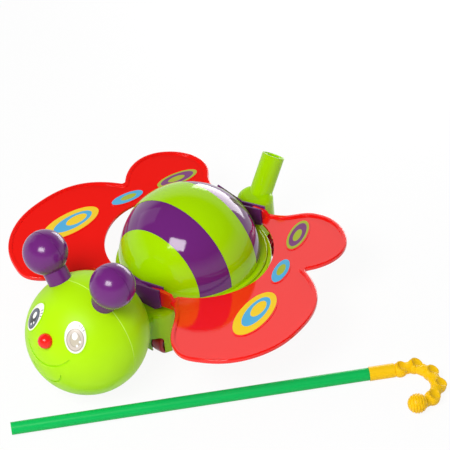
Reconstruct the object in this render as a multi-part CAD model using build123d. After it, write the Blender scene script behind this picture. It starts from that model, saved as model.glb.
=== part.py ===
from build123d import *
from math import asin, cos, degrees, pi, radians, sin, sqrt
import os

# A toddler's push-along winged toy and the stick it is pushed with, in millimetres.
# While the pieces are made, X is the toy's right, Y runs from its head to its stick socket,
# Z is up from the floor, and X = Y = 0 lies under the middle of the round back.

os.makedirs("parts", exist_ok=True)

# Clearances and cutter overrun
running_gap = 0.06
slide_gap = 0.3
seat_gap = 0.1
overrun = 1.0

# Moulded walls
wall = 2.2
thin_wall = 1.8

# Round back: a ball-shaped shell with two coloured bands let into it
dome_radius = 66.6
dome_height = 60.0
flange_lip = 3.4
flange_foot = 48.6
flange_top = 54.5
flange_round = 1.6
band_depth = 1.4
band_step = 0.45
band_foot_gap = 3.0
band_front_shares = (-0.658, -0.222)
band_rear_shares = (0.354, 0.781)

# Body tray under the back
tray_setback = 4.5
tray_lip = 3.8
tray_rim_height = 51.3
tray_curve = 40.0
tray_floor = 8.0
tray_round = 1.2
ledge_width = 5.8

# Chest, keel and tail, which carry the axles
chest_half_width = 36.0
chest_lead = 11.4
chest_top = 52.0
chest_length = 53.0
chest_corner = 16.0
chest_brow = 5.0
hull_foot = 5.5
keel_half_width = 22.0
tail_radius = 17.5
tail_top = 44.0
tail_foot_half_width = 10.5
tail_foot_top = 26.5
tail_foot_round = 5.0
cover_thickness = 2.2
cover_post_width = 2.7

# Head: two half shells clamped round the feelers
head_radius = 57.0
head_height = 60.8
neck_gap = 3.0
neck_radius = 13.0
neck_height = 32.0
neck_reach = 6.0
neck_ring_radius = 16.0
neck_ring_width = 3.6
seam_groove = 0.4
head_boss_radius = 4.0
head_boss_spread = 33.0
head_boss_rise = 19.0
head_boss_drop = 44.0

# Feelers: hollow balls on stems, moulded in halves
feeler_ball_radius = 20.8
feeler_reach = 86.0
feeler_tilt = 28.4
feeler_stem_radius = 11.3
feeler_flange_width = 1.9
feeler_flange_thickness = 2.2

# Face
nose_radius = 7.0
nose_sink = 2.0
nose_elevation = 27.5
nose_peg_radius = 2.5
nose_peg_length = 9.0
eye_half_width = 10.0
eye_half_height = 14.6
eye_turn = 33.0
eye_elevation = 36.7
eye_thickness = 0.35
eye_rim_width = 1.0
eye_rim_height = 0.55
smile_width = 1.5
smile_depth = 0.9
smile_elevation = 34.8
smile_half_angle = 31.4
smile_spread = 58.0
lip_elevation = -0.8
lip_half_angle = 17.5
lip_spread = 80.0

# Wing hinges
hinge_offset = 19.0
hinge_lift = 14.6
hinge_pin_radius = 1.6
knuckle_thickness = 3.4
front_knuckle_rise = 9.0
rear_knuckle_rise = 7.0
knuckle_depth = 9.0
knuckle_boss_radius = 6.0
knuckle_shoulder = 9.0
knuckle_hold = 3.3
knuckle_end_drop = 6.0
knuckle_end_slope = 5.0
cheek_thickness = 1.6
cheek_half_length = 29.0
front_cheek_rise = 10.6
rear_cheek_rise = 9.4
front_middle_rise = 5.4
rear_middle_rise = 2.8
cheek_foot_half_length = 22.0
bracket_floor = 2.4
bracket_floor_half_length = 20.0
front_bracket_gap = 1.5
rear_bracket_gap = 4.7
rear_bracket_lift = 0.3
tongue_half_width = 8.0
tongue_length = 6.9

# Wings
wing_span = 94.4
wing_front_share = 1.724
wing_rear_share = 1.421
wing_side_gap = 18.4
wing_end_gap = 4.9
wing_thickness = 2.4
wing_lip_width = 4.2
wing_lip_rise = 1.5
wing_lip_drop = 0.8
wing_lip_round = 1.4
wing_notch_round = 3.0
lip_samples = 24
spot_raise = 0.5
sticker_thickness = 0.25
sticker_border = 1.4

# Flapping gear: a cranked axle works a lifter between the wing levers
lever_length = 11.0
lever_tip_radius = 2.4
lever_half_height = 1.6
lever_gap = 0.35
flap_up = 18.0
flap_down = 10.0
lifter_thickness = 3.4
lifter_stem_half_width = 2.7
lifter_bar = 2.2
lifter_web_half_width = 1.5
lifter_head_half_width = 10.6
yoke_half_thickness = 2.5

# Wheels and axles
axle_radius = 1.5
crank_half_length = 6.0
front_wheel_radius = 13.5
front_wheel_width = 12.0
front_wheel_inset = 18.6
front_axle_setback = 14.1
rear_wheel_radius = 12.0
rear_wheel_width = 10.0
tyre_thickness = 3.0
tyre_round = 2.5
hub_radius = 4.5
wheel_web = 2.4
arch_gap = 2.2
arch_round = 5.0
bearing_thickness = 3.0
bearing_gap = 2.1
bearing_drop = 6.0

# Stick socket
collar_gap = 0.9
collar_top = 66.0
collar_round = 7.0
socket_radius = 11.0
socket_tilt = 36.0
socket_foot_height = 49.8
socket_length = 53.0
socket_wall = 2.0
sleeve_length = 34.0
sleeve_setback = 0.6

# Push stick, which lies beside the toy
stick_radius = 5.9
stick_wall = 1.2
stick_start = (-14.1, -239.2)
stick_heading = 48.4
stick_visible_length = 330.0
grip_overlap = 15.0
grip_shoulder_gap = 0.5
stick_spigot_radius = 5.5
grip_sleeve_length = 23.5
grip_sleeve_radius = 6.6
grip_radius = 5.6
grip_bump_radius = 7.3
grip_ball_radius = 9.2
grip_rib_depth = 0.7
grip_rib_count = 6
grip_cup_radius = 6.2
grip_cup_height = 5.0
grip_cup_lip = 1.3
grip_dent_radius = 7.6
grip_dent_tilt = 27.0
grip_dent_heading = 33.0
grip_foot_flat = 0.1

# Screws
screw_radius = 1.3
screw_head_radius = 2.6
screw_head_height = 1.6
screw_length = 10.0

# Outlines, as hand-chosen shares: X of wing_reach, Y of wing_front or wing_rear
front_lobe_shares = [
    (0.300, -0.628), (0.352, -0.692), (0.394, -0.778), (0.443, -0.877), (0.514, -0.962), (0.602, -1.000),
    (0.702, -0.963), (0.801, -0.890), (0.888, -0.781), (0.957, -0.631), (0.996, -0.457),
    (1.000, -0.275), (0.969, -0.057),
]
waist_lobe_shares = [(0.907, 0.103), (0.811, 0.230), (0.689, 0.319)]
rear_lobe_shares = [
    (0.736, 0.414), (0.773, 0.545), (0.780, 0.677), (0.742, 0.827), (0.665, 0.935),
    (0.559, 1.000), (0.453, 0.992), (0.370, 0.926), (0.311, 0.827), (0.261, 0.774),
    (0.211, 0.744),
]
front_root_shares = (0.262, -0.606)
front_heel_shares = (0.248, -0.566)
rear_heel_shares = (0.211, 0.640)
inner_start_share = -0.861
inner_end_share = 0.898

# Spots on a wing: centre in shares of wing_reach and wing_front, half size in shares of wing_reach, lean
spot_centre_shares = {"big": (0.708, -0.328), "small": (0.591, 0.161), "rear": (0.466, 0.566)}
spot_half_size_shares = {"big": (0.0888, 0.1988), "small": (0.0410, 0.1043), "rear": (0.0522, 0.1335)}
spot_leans = {"big": 10.0, "small": 19.0, "rear": 20.0}

# Grip: how far each bump and the ball lie along and beside the stick, as shares of the hook
hook_reach = 52.0
grip_bump_shares = [(0.10, -0.01), (0.36, 0.02), (0.60, -0.22), (0.67, -0.57), (0.50, -0.85)]
grip_ball_shares = (0.217, -0.985)

# Places that follow from the sizes
tray_y = tray_setback
flange_radius = dome_radius + flange_lip
tray_radius = flange_radius + tray_lip
band_foot = flange_top + band_foot_gap
hinge_height = chest_top + hinge_lift
bracket_half_depth = knuckle_thickness / 2 + slide_gap + cheek_thickness
front_bracket_y = -(dome_radius + front_bracket_gap + bracket_half_depth)
rear_bracket_y = dome_radius + rear_bracket_gap + bracket_half_depth
collar_y = rear_bracket_y + bracket_half_depth + collar_gap + tail_radius
wing_reach = dome_radius + wing_span
wing_front = -front_bracket_y * wing_front_share
wing_rear = rear_bracket_y * wing_rear_share
chest_front = front_bracket_y - chest_lead
keel_end = tray_y + tray_radius
head_y = chest_front - neck_gap - head_radius
front_axle_y = chest_front + front_axle_setback
front_axle_z = front_wheel_radius
rear_axle_z = rear_wheel_radius
cover_top = hull_foot + cover_thickness
bearing_inner = front_wheel_inset - bearing_gap - bearing_thickness
lifter_y = front_bracket_y
lever_slot = lever_tip_radius + lever_gap
lift_down = lever_length * radians(flap_up)
lift_up = lever_length * radians(flap_down)
crank_throw = (lift_down + lift_up) / 2
crank_rise = (lift_down - lift_up) / 2
crank_reach = crank_throw + axle_radius
yoke_top = crank_reach + lift_down + slide_gap
yoke_bottom = crank_reach + lift_up + slide_gap
yoke_half_window = crank_reach + slide_gap
yoke_front = min(front_axle_y - yoke_half_window - lifter_bar, lifter_y - lifter_thickness / 2)
yoke_end = max(front_axle_y + yoke_half_window + lifter_bar, lifter_y + lifter_thickness / 2)
front_floor_z = chest_top
rear_floor_z = flange_top + rear_bracket_lift
ledge_z = flange_foot - seat_gap
pilot_radius = screw_radius + running_gap


def cylinder_x(radius, x_start, x_end, y, z):
    """A round bar along X."""
    middle = (x_start + x_end) / 2
    return Pos(middle, y, z) * Rot(0, 90, 0) * Cylinder(radius, abs(x_end - x_start))


def cylinder_y(radius, y_start, y_end, x, z):
    """A round bar along Y."""
    middle = (y_start + y_end) / 2
    return Pos(x, middle, z) * Rot(90, 0, 0) * Cylinder(radius, abs(y_end - y_start))


def cylinder_z(radius, z_start, z_end, x, y):
    """A round bar along Z."""
    return Pos(x, y, (z_start + z_end) / 2) * Cylinder(radius, abs(z_end - z_start))


def block(x_range, y_range, z_range):
    """A box between three pairs of coordinates."""
    size = [high - low for low, high in (x_range, y_range, z_range)]
    middle = [(high + low) / 2 for low, high in (x_range, y_range, z_range)]
    return Pos(*middle) * Box(*size)


def half_space(y_side, reach, x=0, y=0, z=0):
    """A box that covers everything in front of a point (y_side -1) or behind it (y_side 1)."""
    return Pos(x, y + y_side * reach, z) * Box(4 * reach, 2 * reach, 4 * reach)


def mirrored(shape):
    """The same piece on the toy's other side."""
    return mirror(shape, about=Plane.YZ)


def solid_of(shape):
    """The largest solid of a result, free of loose chips."""
    return max(shape.solids(), key=lambda piece: piece.volume)


def screw(length):
    """A pan-head screw that points up, with the underside of its head at Z = 0."""
    head = Pos(0, 0, -screw_head_height / 2) * Cylinder(screw_head_radius, screw_head_height)
    head = fillet(head.edges().sort_by(Axis.Z)[0], screw_head_height / 2)
    slot = Box(screw_head_radius, screw_head_height / 3, screw_head_height)
    cross = slot + Rot(0, 0, 90) * slot
    head = head - Pos(0, 0, -screw_head_height) * cross
    return head + Pos(0, 0, length / 2) * Cylinder(screw_radius, length)


# Body

def tray_profile(inset, floor):
    """Half the tray's section up to its rim, from its axis outwards, with a quarter-round flank."""
    curve = tray_curve - inset
    flat = tray_radius - tray_curve
    centre_z = tray_floor + tray_curve
    with BuildSketch(Plane.XZ) as section:
        with BuildLine():
            Line((0, floor), (flat, floor))
            RadiusArc((flat, floor), (flat + curve, centre_z), -curve)
            Line((flat + curve, centre_z), (flat + curve, tray_rim_height))
            Line((flat + curve, tray_rim_height), (0, tray_rim_height))
            Line((0, tray_rim_height), (0, floor))
        make_face()
    return section.sketch


def tray_outer():
    """The tray as a full round body with a softened rim."""
    body = revolve(tray_profile(0, tray_floor), Axis.Z)
    body = fillet(body.edges().sort_by(Axis.Z)[-1], tray_round)
    return Pos(0, tray_y, 0) * body


def tray_inner():
    """The hollow of the tray, under the ledge that the back stands on."""
    hollow = revolve(tray_profile(wall, tray_floor + wall), Axis.Z)
    hollow &= cylinder_z(tray_radius, 0, ledge_z - wall, 0, 0)
    mouth_radius = flange_radius - ledge_width
    mouth = cylinder_z(mouth_radius, ledge_z - wall - overrun, ledge_z + overrun, 0, 0)
    rebate = cylinder_z(flange_radius + slide_gap, ledge_z, chest_top + overrun, 0, 0)
    return Pos(0, tray_y, 0) * (hollow + mouth + rebate)


def chest_block(inset, top, foot, front, end):
    """The chest: a block with round front corners and a soft brow."""
    half = chest_half_width - inset
    body = block((-half, half), (front, end), (foot, top))
    corners = body.edges().filter_by(Axis.Z).group_by(Axis.Y)[0]
    body = fillet(corners, chest_corner - inset)
    if inset == 0:
        brow = body.edges().group_by(Axis.Z)[-1].sort_by(Axis.Y)[0]
        body = fillet(brow, chest_brow)
    return body


def make_base_shell():
    """Tray, chest, keel and tail in one moulding, open below and on top."""
    chest_end = chest_front + chest_length
    outer = tray_outer() + chest_block(0, chest_top, hull_foot, chest_front, chest_end)
    outer += block((-keel_half_width, keel_half_width), (chest_end - wall, keel_end),
                   (hull_foot, tray_floor + wall * 3))
    tail = cylinder_z(tail_radius, tail_foot_top, tail_top, 0, collar_y)
    neck_of_tail = block((-tail_radius, tail_radius), (tray_y + tray_radius - wall * 2, collar_y),
                         (tail_foot_top, tail_top))
    foot = block((-tail_foot_half_width, tail_foot_half_width),
                 (keel_end - wall, collar_y + tail_foot_half_width),
                 (hull_foot, tail_foot_top + wall))
    foot = fillet(foot.edges().filter_by(Axis.Z).group_by(Axis.Y)[-1], tail_foot_round)
    outer += tail + neck_of_tail + foot
    roof = chest_top - wall
    low_roof = ledge_z - wall * 2
    inner = tray_inner()
    inner += chest_block(wall, low_roof, hull_foot - overrun, chest_front + wall, chest_end - wall)
    throat_end = tray_y - tray_radius - seat_gap
    inner += block((-chest_half_width / 2, chest_half_width / 2), (chest_front + wall, throat_end),
                   (low_roof - overrun, roof))
    inner += block((wall - keel_half_width, keel_half_width - wall), (chest_end - wall * 2, keel_end - wall),
                   (hull_foot - overrun, tray_floor + wall * 2))
    shell = outer - inner
    shell += bearing_ribs()
    shell += screw_posts()
    for cut in base_cuts():
        shell -= cut
    return solid_of(shell)


def bearing_ribs():
    """Two ribs that hang from the chest's roof and take the front axle."""
    ribs = []
    for side in (-1, 1):
        low, high = sorted((side * bearing_inner, side * (bearing_inner + bearing_thickness)))
        column_front = chest_front + bearing_drop
        column_end = tray_y - tray_radius - slide_gap
        foot = block((low, high), (column_front, front_axle_y + bearing_drop + axle_radius),
                     (cover_top + slide_gap, front_axle_z + 2 * bearing_drop))
        column = block((low, high), (column_front, column_end),
                       (front_axle_z, chest_top - wall / 2))
        ribs.append(foot + column)
    return ribs[0] + ribs[1]


def cover_screw_places():
    """Where the cover's four screws go."""
    front_x = chest_half_width - wall - screw_head_radius
    rear_x = keel_half_width - wall - screw_head_radius
    front_y = chest_front + chest_length - chest_corner
    rear_y = keel_end - chest_corner
    return [(side * x, y) for x, y in ((front_x, front_y), (rear_x, rear_y)) for side in (-1, 1)]


def screw_posts():
    """Posts along the walls for the cover's screws."""
    post_radius = screw_head_radius + wall / 2
    top = cover_top + screw_length + wall
    posts = [cylinder_z(post_radius, cover_top, top, x, y) for x, y in cover_screw_places()]
    return posts[0] + posts[1] + posts[2] + posts[3]


def dome_screw_places():
    """Where the back's four screws come up through the ledge."""
    middle = flange_radius - ledge_width / 2
    return [(middle * cos(radians(a)), tray_y + middle * sin(radians(a))) for a in (35, 145, 215, 325)]


def bracket_screw_x():
    """How far from the middle each screw of the front bracket stands."""
    return bearing_inner - screw_head_radius - wall


def base_cuts():
    """Wheel arches, neck hole, lifter slot, bearings and screw holes."""
    arch = front_wheel_radius + arch_gap
    inner_x = front_wheel_inset - arch_gap / 2
    outer_x = front_wheel_inset + front_wheel_width + arch_gap / 2
    arch_cut = cylinder_x(arch, inner_x, outer_x, front_axle_y, front_axle_z)
    arch_cut = fillet(arch_cut.edges().filter_by(GeomType.CIRCLE), arch_round)
    arch_cut += block((inner_x + arch_round / 2, outer_x - arch_round / 2),
                      (chest_front - overrun, front_axle_y), (0, front_axle_z))
    cuts = [arch_cut, mirrored(arch_cut)]
    cuts.append(cylinder_y(neck_radius + seat_gap, chest_front - overrun,
                           chest_front + wall + overrun, 0, neck_height))
    slot = lifter_stem_half_width + slide_gap
    cuts.append(block((-slot, slot), (lifter_y - slot, lifter_y + slot),
                      (chest_top - wall - overrun, chest_top + overrun)))
    bore = axle_radius + running_gap
    span = bearing_inner + bearing_thickness + overrun
    cuts.append(cylinder_x(bore, -span, span, front_axle_y, front_axle_z))
    cuts.append(block((-span, span), (front_axle_y - bore, front_axle_y + bore),
                      (cover_top, front_axle_z)))
    cuts.append(cylinder_x(bore, -tail_radius, tail_radius, collar_y, rear_axle_z))
    for x, y in cover_screw_places():
        cuts.append(cylinder_z(pilot_radius, cover_top - overrun, cover_top + screw_length, x, y))
    for x, y in dome_screw_places():
        cuts.append(cylinder_z(screw_radius + seat_gap, ledge_z - wall - overrun, ledge_z + overrun, x, y))
    for side in (-1, 1):
        x = side * bracket_screw_x()
        cuts.append(cylinder_z(screw_radius + seat_gap, chest_top - wall - overrun,
                               chest_top + overrun, x, front_bracket_y))
        cuts.append(cylinder_z(screw_head_radius + slide_gap, chest_top - wall - screw_head_height - slide_gap,
                               chest_top - wall, x, front_bracket_y))
    return cuts


def make_bottom_cover():
    """The plate that closes the hull and holds the front axle up in its bearings."""
    chest_end = chest_front + chest_length
    gap = wall + seat_gap
    plate = chest_block(gap, cover_top, hull_foot, chest_front + gap, chest_end - gap)
    plate += block((gap - keel_half_width, keel_half_width - gap), (chest_end - gap * 2, keel_end - gap),
                   (hull_foot, cover_top))
    arch = front_wheel_radius + arch_gap
    inner_x = front_wheel_inset - arch_gap / 2
    outer_x = front_wheel_inset + front_wheel_width + arch_gap / 2
    well = block((inner_x, outer_x), (chest_front, front_axle_y + arch), (0, cover_top + overrun))
    plate -= well + mirrored(well)
    slot_x = yoke_half_thickness + slide_gap
    plate -= block((-slot_x, slot_x), (yoke_front - slide_gap, yoke_end + slide_gap),
                   (0, cover_top + overrun))
    for side in (-1, 1):
        low, high = sorted((side * bearing_inner, side * (bearing_inner + bearing_thickness)))
        post = block((low, high), (front_axle_y - cover_post_width / 2, front_axle_y + cover_post_width / 2),
                     (hull_foot, front_axle_z - axle_radius / 2))
        plate += post
    span = bearing_inner + bearing_thickness + overrun
    plate -= cylinder_x(axle_radius + running_gap, -span, span, front_axle_y, front_axle_z)
    for x, y in cover_screw_places():
        plate -= cylinder_z(screw_radius + seat_gap, 0, cover_top + overrun, x, y)
        plate -= cylinder_z(screw_head_radius + seat_gap, 0, hull_foot + screw_head_height, x, y)
    return solid_of(plate)


def make_dome_shell():
    """The round back with its flange and the two recesses for the bands."""
    ball = Pos(0, 0, dome_height) * Sphere(dome_radius)
    reach = 2 * dome_radius
    above = block((-reach, reach), (-reach, reach), (chest_top + slide_gap, dome_height + reach))
    flange = cylinder_z(flange_radius, flange_foot, flange_top, 0, 0)
    flange = fillet(flange.edges().sort_by(Axis.Z)[-1], flange_round)
    shell = (ball & above) + Pos(0, tray_y, 0) * flange
    shell -= Pos(0, 0, dome_height) * Sphere(dome_radius - wall)
    for shares in (band_front_shares, band_rear_shares):
        start, end = [share * dome_radius for share in shares]
        shell -= band_ring(dome_radius + overrun, start, end, band_foot)
    for x, y in dome_screw_places():
        shell -= cylinder_z(pilot_radius, flange_foot - overrun, flange_top - wall, x, y)
    return solid_of(shell)


def band_ring(outer_radius, start, end, foot):
    """A strip of ball shell between two upright planes, cut off level at its foot."""
    centre = Pos(0, 0, dome_height)
    ring = centre * Sphere(outer_radius) - centre * Sphere(dome_radius - band_depth)
    reach = 2 * dome_radius
    return ring & block((-reach, reach), (start, end), (foot, dome_height + reach))


def make_band(shares):
    """A coloured band, set a little lower than the shell round it."""
    start, end = [share * dome_radius for share in shares]
    return band_ring(dome_radius - band_step, start + seat_gap, end - seat_gap, band_foot + seat_gap)


# Head

def head_boss_places():
    """Where the head's three screws join its halves: X and Z from its centre."""
    return [(0, -head_boss_drop), (-head_boss_spread, head_boss_rise), (head_boss_spread, head_boss_rise)]


def feeler_axis(side):
    """Turns a shape that stands on the head's centre along one feeler."""
    return Pos(0, head_y, head_height) * Rot(0, side * feeler_tilt, 0)


def face_axis(turn, elevation):
    """Turns a shape that stands on the head's centre to a point of the face, its Y side up."""
    return Pos(0, head_y, head_height) * Rot(0, 0, turn) * Rot(90 - elevation, 0, 0)


def face_arc(elevation, half_angle, spread):
    """A groove cutter along the lower part of a small circle of the head."""
    radius = head_radius * sin(radians(half_angle))
    ring = Cylinder(radius + smile_width / 2, head_radius) - Cylinder(radius - smile_width / 2, head_radius)
    skin = Sphere(head_radius + overrun) - Sphere(head_radius - smile_depth)
    top = -radius * cos(radians(spread))
    lower_part = block((-head_radius, head_radius), (top - head_radius, top), (0, 2 * head_radius))
    return face_axis(0, elevation) * (Pos(0, 0, head_radius) * ring & skin & lower_part)


def seam_cutter(radius):
    """A thin square groove round the widest part of a ball that is split front from rear."""
    ring = Cylinder(radius + overrun, 2 * seam_groove) - Cylinder(radius - seam_groove, 2 * seam_groove)
    return Rot(90, 0, 0) * ring


def oval_prism(half_width, half_height, length):
    """An oval rod that starts at the origin and runs up."""
    return extrude(Ellipse(half_width, half_height), length)


def make_head_half(y_side):
    """One half of the head, with its screw bosses and the seats of the feelers."""
    centre = Pos(0, head_y, head_height)
    shell = centre * Sphere(head_radius) - centre * Sphere(head_radius - wall)
    inside = centre * Sphere(head_radius - wall / 2)
    for x, z in head_boss_places():
        boss = cylinder_y(head_boss_radius, head_y - head_radius, head_y + head_radius, x, head_height + z)
        shell += boss & inside
    if y_side > 0:
        spigot_start = head_y + head_radius - neck_radius
        spigot_end = chest_front + neck_reach
        shell += cylinder_y(neck_radius, spigot_start, spigot_end, 0, neck_height)
        shell -= cylinder_y(neck_radius - wall, spigot_start - overrun, spigot_end + overrun, 0, neck_height)
    half = shell & half_space(y_side, 2 * head_radius, 0, head_y, head_height)
    for side in (-1, 1):
        stem = Pos(0, 0, feeler_reach / 2) * Cylinder(feeler_stem_radius + seat_gap, feeler_reach)
        half -= feeler_axis(side) * stem
    for x, z in head_boss_places():
        depth = sqrt(head_radius ** 2 - x ** 2 - z ** 2)
        half -= cylinder_y(pilot_radius, head_y - screw_length, head_y + depth, x, head_height + z)
        if y_side > 0:
            half -= cylinder_y(screw_head_radius + seat_gap, head_y + screw_length, head_y + head_radius,
                               x, head_height + z)
    half -= centre * seam_cutter(head_radius)
    if y_side < 0:
        half = add_face(half)
    return solid_of(half)


def add_face(half):
    """Adds the eye rims and cuts the nose's hole and the smile into the front of the head."""
    for side in (-1, 1):
        rim = oval_prism(eye_half_width + eye_rim_width, eye_half_height + eye_rim_width, 2 * head_radius)
        rim -= oval_prism(eye_half_width, eye_half_height, 2 * head_radius)
        skin = Sphere(head_radius + eye_rim_height) - Sphere(head_radius - wall / 2)
        half += face_axis(side * eye_turn, eye_elevation) * (skin & rim)
    peg_hole = Pos(0, 0, head_radius) * Cylinder(nose_peg_radius + seat_gap, 4 * wall)
    half -= face_axis(0, nose_elevation) * peg_hole
    half -= face_arc(smile_elevation, smile_half_angle, smile_spread)
    half -= face_arc(lip_elevation, lip_half_angle, lip_spread)
    return half


def make_nose():
    """A ball nose that sits on the face, with a peg into it."""
    ball = Pos(0, 0, head_radius + nose_radius - nose_sink - nose_radius / 2) * Sphere(nose_radius)
    ball -= Sphere(head_radius)
    peg = Pos(0, 0, head_radius + wall - nose_peg_length / 2) * Cylinder(nose_peg_radius, nose_peg_length)
    return solid_of(face_axis(0, nose_elevation) * (ball + peg))


def make_eye(side):
    """An oval printed eye that lies on the face inside its rim."""
    skin = Sphere(head_radius + eye_thickness) - Sphere(head_radius)
    oval = oval_prism(eye_half_width - seat_gap, eye_half_height - seat_gap, 2 * head_radius)
    return solid_of(face_axis(side * eye_turn, eye_elevation) * (skin & oval))


def make_feeler_half(side, y_side):
    """Half of a hollow feeler: ball, stem and the flange that the head clamps."""
    flange_radius_here = feeler_stem_radius + feeler_flange_width
    inside = head_radius - wall - seat_gap
    flange_top_here = sqrt(inside ** 2 - flange_radius_here ** 2) - seat_gap
    flange_foot_here = flange_top_here - feeler_flange_thickness
    stem_length = feeler_reach - flange_foot_here
    stem_middle = (feeler_reach + flange_foot_here) / 2
    outer = Pos(0, 0, feeler_reach) * Sphere(feeler_ball_radius)
    outer += Pos(0, 0, stem_middle) * Cylinder(feeler_stem_radius, stem_length)
    outer += Pos(0, 0, flange_foot_here + feeler_flange_thickness / 2) * Cylinder(
        flange_radius_here, feeler_flange_thickness)
    inner = Pos(0, 0, feeler_reach) * Sphere(feeler_ball_radius - thin_wall)
    inner += Pos(0, 0, stem_middle - overrun) * Cylinder(feeler_stem_radius - thin_wall, stem_length)
    ball_seam = Pos(0, 0, feeler_reach) * seam_cutter(feeler_ball_radius)
    ball_seam -= Pos(0, 0, stem_middle) * Cylinder(flange_radius_here, stem_length)
    half = (outer - inner - ball_seam) & half_space(y_side, 2 * feeler_reach)
    return solid_of(feeler_axis(side) * half)


def make_neck_ring():
    """The ring that holds the head's spigot inside the chest."""
    start = chest_front + wall
    ring = cylinder_y(neck_ring_radius, start, start + neck_ring_width, 0, neck_height)
    ring -= cylinder_y(neck_radius, start - overrun, start + neck_ring_width + overrun, 0, neck_height)
    return solid_of(ring)


# Wing hinges

def cheek(y_middle, floor_z, end_rise, middle_rise):
    """One upright plate of a bracket: low in the middle, rising to both ends."""
    top_end = hinge_height + end_rise
    top_middle = hinge_height + middle_rise
    shoulder = hinge_height - knuckle_depth
    points = [
        (-cheek_foot_half_length, floor_z), (cheek_foot_half_length, floor_z),
        (cheek_half_length, shoulder), (cheek_half_length, top_end), (0, top_middle),
        (-cheek_half_length, top_end), (-cheek_half_length, shoulder),
    ]
    face = make_face(Polyline(*[(x, 0, z) for x, z in points], close=True))
    plate = extrude(face, cheek_thickness / 2, dir=(0, 1, 0), both=True)
    return Pos(0, y_middle, 0) * plate


def make_bracket(y_middle, floor_z, end_rise, middle_rise):
    """A channel with two cheeks, which the wing arms are pinned between."""
    offset = bracket_half_depth - cheek_thickness / 2
    body = cheek(y_middle - offset, floor_z, end_rise, middle_rise)
    body += cheek(y_middle + offset, floor_z, end_rise, middle_rise)
    half = bracket_floor_half_length
    body += block((-half, half), (y_middle - bracket_half_depth, y_middle + bracket_half_depth),
                  (floor_z, floor_z + bracket_floor))
    for side in (-1, 1):
        body -= cylinder_y(hinge_pin_radius, y_middle - bracket_half_depth - overrun,
                           y_middle + bracket_half_depth + overrun, side * hinge_offset, hinge_height)
    return body


def make_front_bracket():
    """The front channel, with a slot for the lifter and two screw holes."""
    body = make_bracket(front_bracket_y, front_floor_z, front_cheek_rise, front_middle_rise)
    slot = lifter_stem_half_width + slide_gap
    body -= block((-slot, slot), (lifter_y - slot, lifter_y + slot),
                  (front_floor_z - overrun, front_floor_z + bracket_floor + overrun))
    for side in (-1, 1):
        body -= cylinder_z(pilot_radius, front_floor_z - overrun, front_floor_z + bracket_floor + overrun,
                           side * bracket_screw_x(), front_bracket_y)
    return solid_of(body)


def make_rear_bracket():
    """The rear channel, with a tongue that plugs into the collar."""
    body = make_bracket(rear_bracket_y, rear_floor_z, rear_cheek_rise, rear_middle_rise)
    body += block((-tongue_half_width, tongue_half_width),
                  (rear_bracket_y + bracket_half_depth - cheek_thickness,
                   rear_bracket_y + bracket_half_depth + tongue_length),
                  (rear_floor_z, rear_floor_z + bracket_floor))
    return solid_of(body)


def make_hinge_pin(side, y_middle):
    """A plain steel pin pressed through both cheeks."""
    return solid_of(cylinder_y(hinge_pin_radius, y_middle - bracket_half_depth, y_middle + bracket_half_depth,
                               side * hinge_offset, hinge_height))


# Wings

def wing_point(share):
    """A point of the wing's outline from its shares."""
    x_share, y_share = share
    length = wing_front if y_share < 0 else wing_rear
    return (x_share * wing_reach, y_share * length)


def inner_point(share):
    """A point of the oval cut-out that clears the back."""
    half_width = dome_radius + wing_side_gap
    half_length = dome_radius + wing_end_gap
    return (half_width * sqrt(1 - share ** 2), half_length * share)


def outer_curves():
    """The two smooth curves round the wing's front and rear lobes."""
    front_points = [wing_point(share) for share in front_lobe_shares + waist_lobe_shares]
    rear_points = [front_points[-1]] + [wing_point(share) for share in rear_lobe_shares]
    return Edge.make_spline(front_points), Edge.make_spline(rear_points)


def wing_face():
    """The right wing's flat outline: two lobes outside, an oval cut-out inside."""
    front_curve, rear_curve = outer_curves()
    steps = (0.5, 0.0, -0.5)
    inner_points = [inner_point(share) for share in (inner_end_share,) + steps + (inner_start_share,)]
    with BuildSketch() as outline:
        with BuildLine():
            add(front_curve)
            add(rear_curve)
            Polyline(rear_curve @ 1, wing_point(rear_heel_shares), inner_points[0])
            Spline(*inner_points)
            Polyline(inner_points[-1], wing_point(front_heel_shares), wing_point(front_root_shares),
                     front_curve @ 0)
        make_face()
    return outline.sketch


def inward(edge, distance):
    """Points that lie a distance inside an outline edge, all along it."""
    points = []
    for number in range(lip_samples + 1):
        share = number / lip_samples
        place = edge @ share
        along = edge % share
        points.append((place.X - along.Y * distance, place.Y + along.X * distance))
    return points


def wing_pocket(width):
    """What lies inside the lip: two lobes that follow the outline, open towards the back."""
    front_curve, rear_curve = outer_curves()
    front_points = inward(front_curve, width)
    rear_points = inward(rear_curve, width)
    with BuildSketch() as outline:
        with BuildLine():
            Spline(*front_points)
            RadiusArc(front_points[-1], rear_points[0], width)
            Spline(*rear_points)
            Polyline(rear_points[-1], (0, 0), front_points[0])
        make_face()
    return outline.sketch


def wing_plate():
    """The wing's plate with a thick, rounded lip along its outer edge."""
    face = wing_face()
    notch_x, notch_y = wing_point(waist_lobe_shares[-1])
    corners = face.vertices().sort_by(lambda v: (v.X - notch_x) ** 2 + (v.Y - notch_y) ** 2)
    face = fillet(corners[0], wing_notch_round)
    height = wing_thickness + wing_lip_rise + wing_lip_drop
    plate = extrude(face, height)
    level = [edge for edge in plate.edges() if abs((edge @ 0).Z - (edge @ 1).Z) < wing_lip_drop]
    reach = dome_radius + wing_side_gap
    rim = [edge for edge in level if (edge @ 0.5).X > reach + overrun or (edge @ 0.5).Y > reach + overrun]
    plate = fillet(rim, wing_lip_round)
    pocket = wing_pocket(wing_lip_width)
    plate -= Pos(0, 0, height - wing_lip_rise) * extrude(pocket, wing_thickness)
    plate -= Pos(0, 0, wing_lip_drop - wing_thickness) * extrude(pocket, wing_thickness)
    step = wing_lip_round / 2
    plate -= Pos(0, 0, height - step) * extrude(wing_pocket(wing_lip_width - step), wing_thickness)
    return plate


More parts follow.
